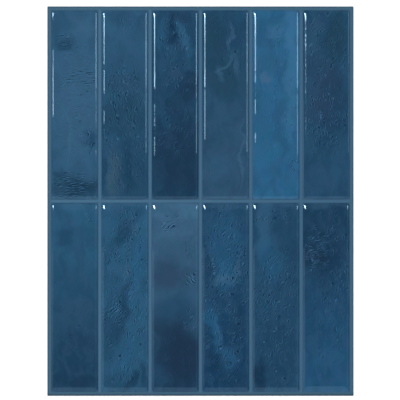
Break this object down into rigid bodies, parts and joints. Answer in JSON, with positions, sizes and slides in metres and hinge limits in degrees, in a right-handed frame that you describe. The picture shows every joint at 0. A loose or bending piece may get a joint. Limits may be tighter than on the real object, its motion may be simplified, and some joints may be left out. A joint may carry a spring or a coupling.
{
  "type": "peel and stick backsplash tile",
  "caption": "Flat adhesive wall tile sheet: domed glossy blue resin tiles standing upright in rows on a thin grout-coloured film with a paper liner.",
  "frame": {"origin": "middle of the liner's underside, the face that goes to the wall", "axes": "+Z out of the glazed face, +Y up along the tiles' length when the sheet is on a wall, +X to the right across the columns"},
  "size_m": [0.2286, 0.2908, 0.002],
  "materials": {
    "liner_paper": "white siliconised paper, satin",
    "grout_print": "printed film in the grout's slate blue, satin",
    "glaze_steel_blue": "glossy poured resin over a mottled steel blue glaze print",
    "glaze_bright_blue": "glossy poured resin over a mottled bright blue glaze print",
    "glaze_denim_blue": "glossy poured resin over a mottled denim blue glaze print",
    "glaze_navy": "glossy poured resin over a mottled navy glaze print"
  },
  "bodies": {
    "root": {"release_liner": "liner_paper", "printed_sheet": "grout_print", "tile_row1_col1": "glaze_steel_blue", "tile_row1_col2": "glaze_denim_blue", "tile_row1_col3": "glaze_navy", "tile_row1_col4": "glaze_denim_blue", "tile_row1_col5": "glaze_bright_blue", "tile_row1_col6": "glaze_navy", "tile_row2_col1": "glaze_denim_blue", "tile_row2_col2": "glaze_steel_blue", "tile_row2_col3": "glaze_navy", "tile_row2_col4": "glaze_denim_blue", "tile_row2_col5": "glaze_denim_blue", "tile_row2_col6": "glaze_navy"}
  },
  "joints": []
}
